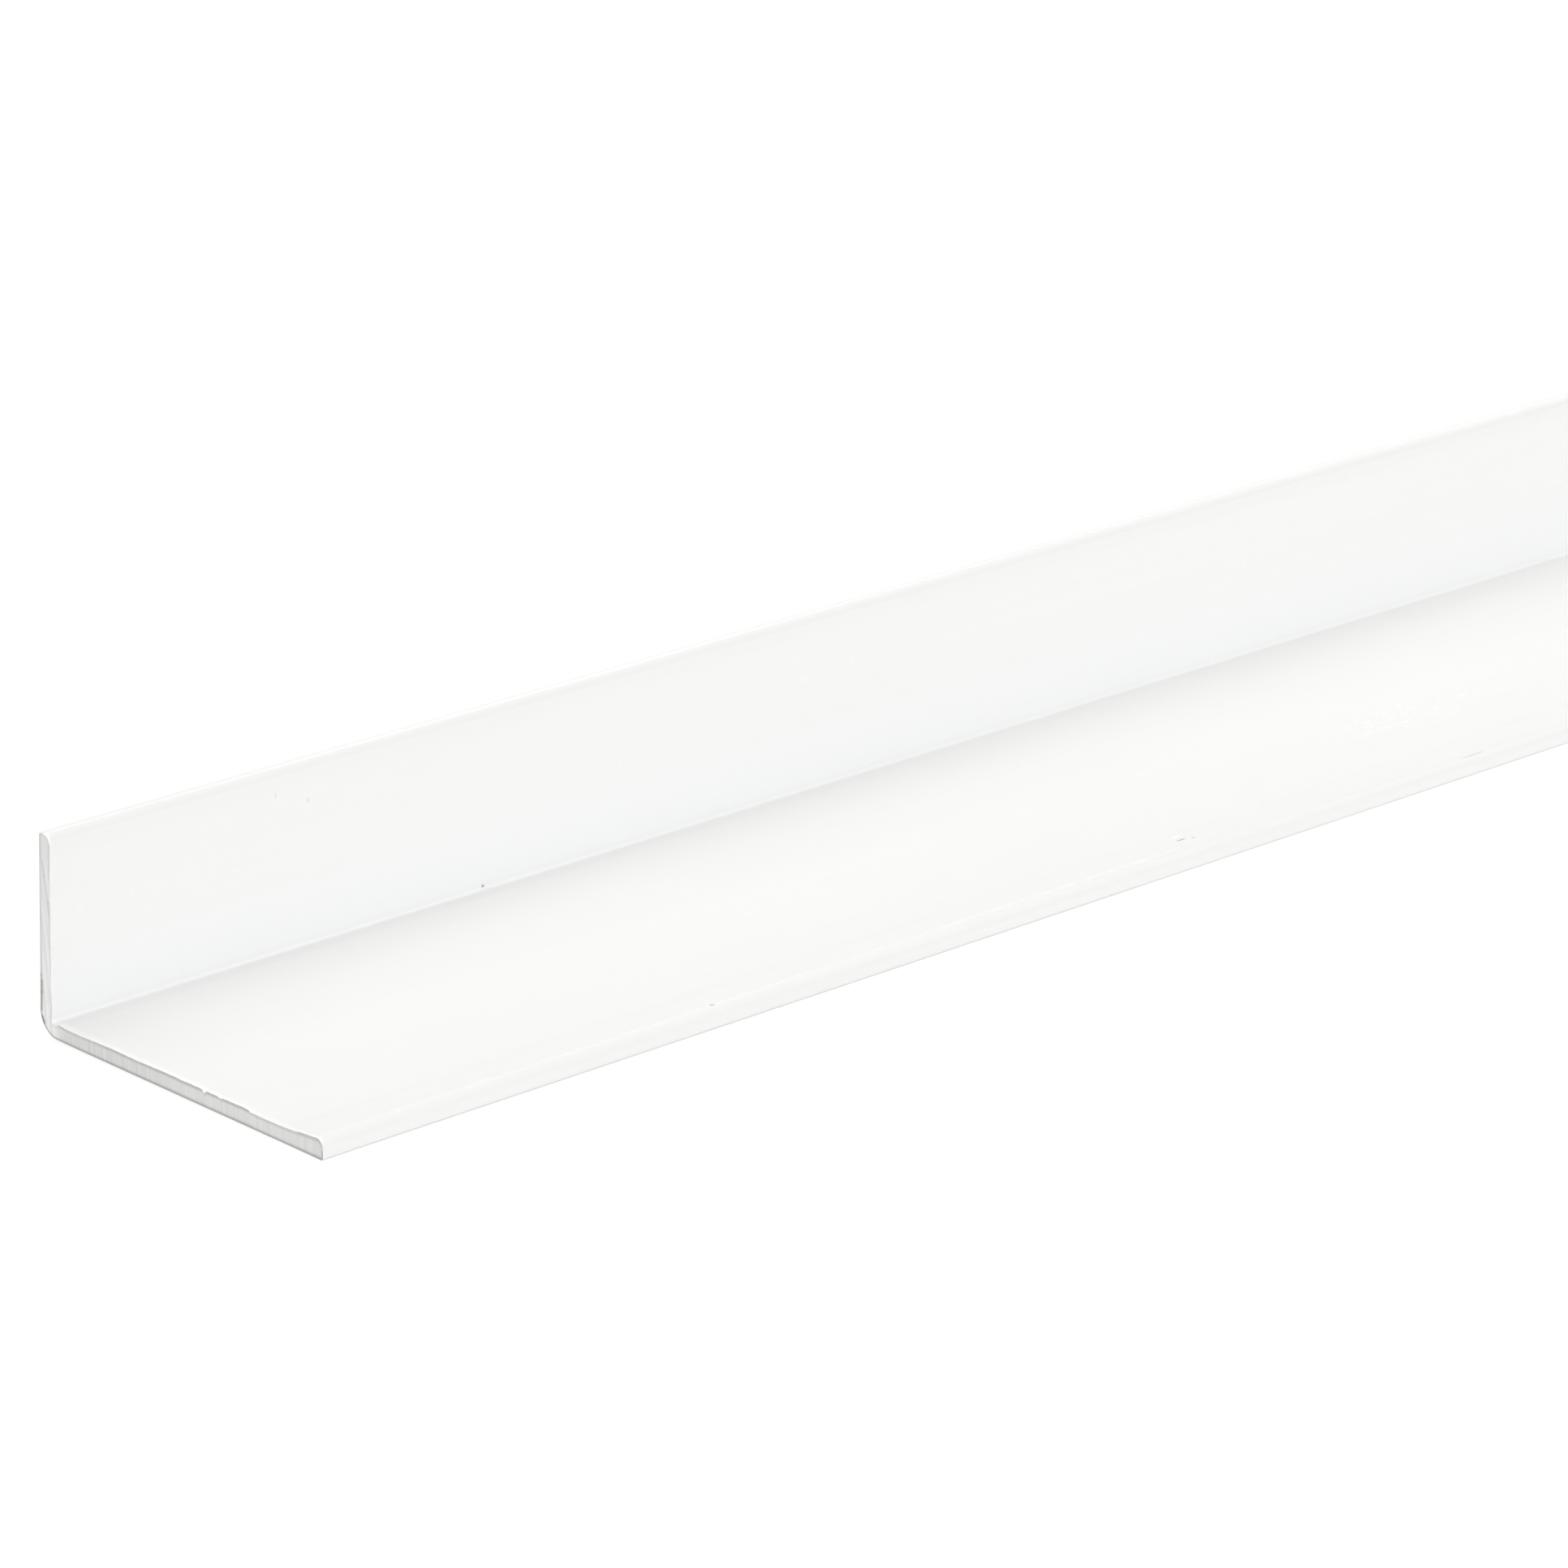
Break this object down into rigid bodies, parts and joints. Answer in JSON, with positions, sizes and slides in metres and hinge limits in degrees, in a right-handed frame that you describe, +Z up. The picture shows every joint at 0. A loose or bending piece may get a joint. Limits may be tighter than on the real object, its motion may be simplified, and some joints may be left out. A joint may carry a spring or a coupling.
{
  "type": "stainless steel angle profile",
  "caption": "White-coated unequal angle profile bent from sheet metal, lying on its wide leg with the narrow leg upright and square sawn ends; trims, edges or supports a corner.",
  "frame": {"origin": "middle of the footprint, on the underside of the wide leg", "axes": "+X along the stock, +Y towards the outer face of the upright leg, +Z up"},
  "size_m": [1, 0.04, 0.02],
  "materials": {
    "coated_sheet": "satin white coat on sheet metal, bare grey metal on the sawn ends"
  },
  "bodies": {
    "root": {"angle_profile": "coated_sheet"}
  },
  "joints": []
}
